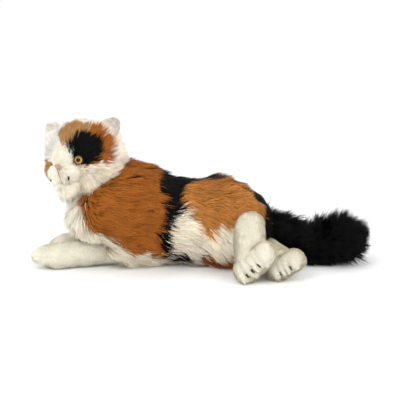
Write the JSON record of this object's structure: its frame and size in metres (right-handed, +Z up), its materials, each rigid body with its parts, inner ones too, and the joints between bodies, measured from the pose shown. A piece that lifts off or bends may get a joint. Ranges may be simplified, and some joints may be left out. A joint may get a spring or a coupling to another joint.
{
  "type": "plush cat",
  "caption": "Stuffed long-haired cat lying on its belly: pile covers over stuffing, safety eyes, and head, ears, legs and tail that move at sewn seams.",
  "frame": {"origin": "middle of the outline on the surface that the toy lies on", "axes": "+X towards the tail, nose end at -X; the cat lies along X with its left side facing -Y; +Z up"},
  "size_m": [0.4184, 0.1856, 0.1895],
  "materials": {
    "dark_thread": "matte",
    "ear_back": "matte",
    "ear_lining": "matte",
    "eye_dome": "gloss",
    "eye_iris": "gloss",
    "eye_pupil": "gloss",
    "eye_shank": "gloss",
    "eye_washer": "matte",
    "face_thread": "matte",
    "gusset_cloth": "matte",
    "head_pile": "matte",
    "leg_pile": "matte",
    "muzzle_pile": "matte",
    "nose_thread": "matte",
    "pouch_cloth": "matte",
    "stuffing": "matte",
    "tail_pile": "matte",
    "torso_pile": "matte"
  },
  "bodies": {
    "torso": {"torso_cover": "torso_pile", "torso_stuffing": "stuffing", "pellet_pouch": "pouch_cloth"},
    "neck": {"neck_gusset": "gusset_cloth"},
    "head": {"chin_pad": "muzzle_pile", "head_cover": "head_pile", "head_stuffing": "stuffing", "left_eye_dome": "eye_dome", "left_eye_iris": "eye_iris", "left_eye_pupil": "eye_pupil", "left_eye_shank": "eye_shank", "left_eye_washer": "eye_washer", "left_muzzle_pad": "muzzle_pile", "mouth_stitch": "face_thread", "nose": "nose_thread", "nose_bridge": "muzzle_pile", "right_eye_dome": "eye_dome", "right_eye_iris": "eye_iris", "right_eye_pupil": "eye_pupil", "right_eye_shank": "eye_shank", "right_eye_washer": "eye_washer", "right_muzzle_pad": "muzzle_pile", "whisker_stitches": "dark_thread"},
    "left_ear": {"left_ear_back": "ear_back", "left_ear_lining": "ear_lining"},
    "right_ear": {"right_ear_back": "ear_back", "right_ear_lining": "ear_lining"},
    "left_front_leg": {"left_front_leg_cover": "leg_pile", "left_front_leg_stuffing": "stuffing"},
    "right_front_leg": {"right_front_leg_cover": "leg_pile", "right_front_leg_stuffing": "stuffing"},
    "left_hind_leg": {"left_hind_leg_cover": "leg_pile", "left_hind_leg_stuffing": "stuffing", "left_hind_toe_stitches": "dark_thread"},
    "right_hind_leg": {"right_hind_leg_cover": "leg_pile", "right_hind_leg_stuffing": "stuffing", "right_hind_toe_stitches": "dark_thread"},
    "tail": {"tail_cover": "tail_pile", "tail_stuffing": "stuffing"}
  },
  "joints": [
    {"name": "neck_turn", "type": "hinge", "parent": "torso", "child": "neck", "pos_m": [-0.14525, 0.02174, 0.138], "axis": [-0.5298, -0.1199, 0.8396], "range_deg": [-30, 30], "stiffness_Nm_per_rad": 0.15},
    {"name": "neck_nod", "type": "hinge", "parent": "neck", "child": "head", "pos_m": [-0.14525, 0.02174, 0.138], "axis": [0.8744, -0.4649, 0.1392], "range_deg": [-15, 12], "stiffness_Nm_per_rad": 0.15},
    {"name": "left_ear_fold", "type": "hinge", "parent": "head", "child": "left_ear", "pos_m": [-0.1136, 0.01124, 0.17296], "axis": [-0.6623, 0.3522, 0.6613], "range_deg": [0, 40], "stiffness_Nm_per_rad": 0.004},
    {"name": "right_ear_fold", "type": "hinge", "parent": "head", "child": "right_ear", "pos_m": [-0.17904, 0.04603, 0.16255], "axis": [-0.4757, 0.2529, -0.8424], "range_deg": [0, 40], "stiffness_Nm_per_rad": 0.004},
    {"name": "left_front_leg_swing", "type": "hinge", "parent": "torso", "child": "left_front_leg", "pos_m": [-0.09475, 0.01574, 0.021], "axis": [0, 0, 1], "range_deg": [-3, 15], "stiffness_Nm_per_rad": 0.06},
    {"name": "right_front_leg_swing", "type": "hinge", "parent": "torso", "child": "right_front_leg", "pos_m": [-0.09475, 0.05724, 0.02], "axis": [0, 0, 1], "range_deg": [-15, 3], "stiffness_Nm_per_rad": 0.06},
    {"name": "left_hind_leg_swing", "type": "hinge", "parent": "torso", "child": "left_hind_leg", "pos_m": [0.08925, -0.01226, 0.023], "axis": [0, 0, 1], "range_deg": [0, 15], "stiffness_Nm_per_rad": 0.06},
    {"name": "right_hind_leg_lift", "type": "hinge", "parent": "torso", "child": "right_hind_leg", "pos_m": [0.06525, -0.02726, 0.058], "axis": [-1, 0, 0], "range_deg": [0, 25], "stiffness_Nm_per_rad": 0.06},
    {"name": "tail_swing", "type": "hinge", "parent": "torso", "child": "tail", "pos_m": [0.09525, 0.02774, 0.039], "axis": [0, 0, 1], "range_deg": [-20, 20], "stiffness_Nm_per_rad": 0.06}
  ]
}
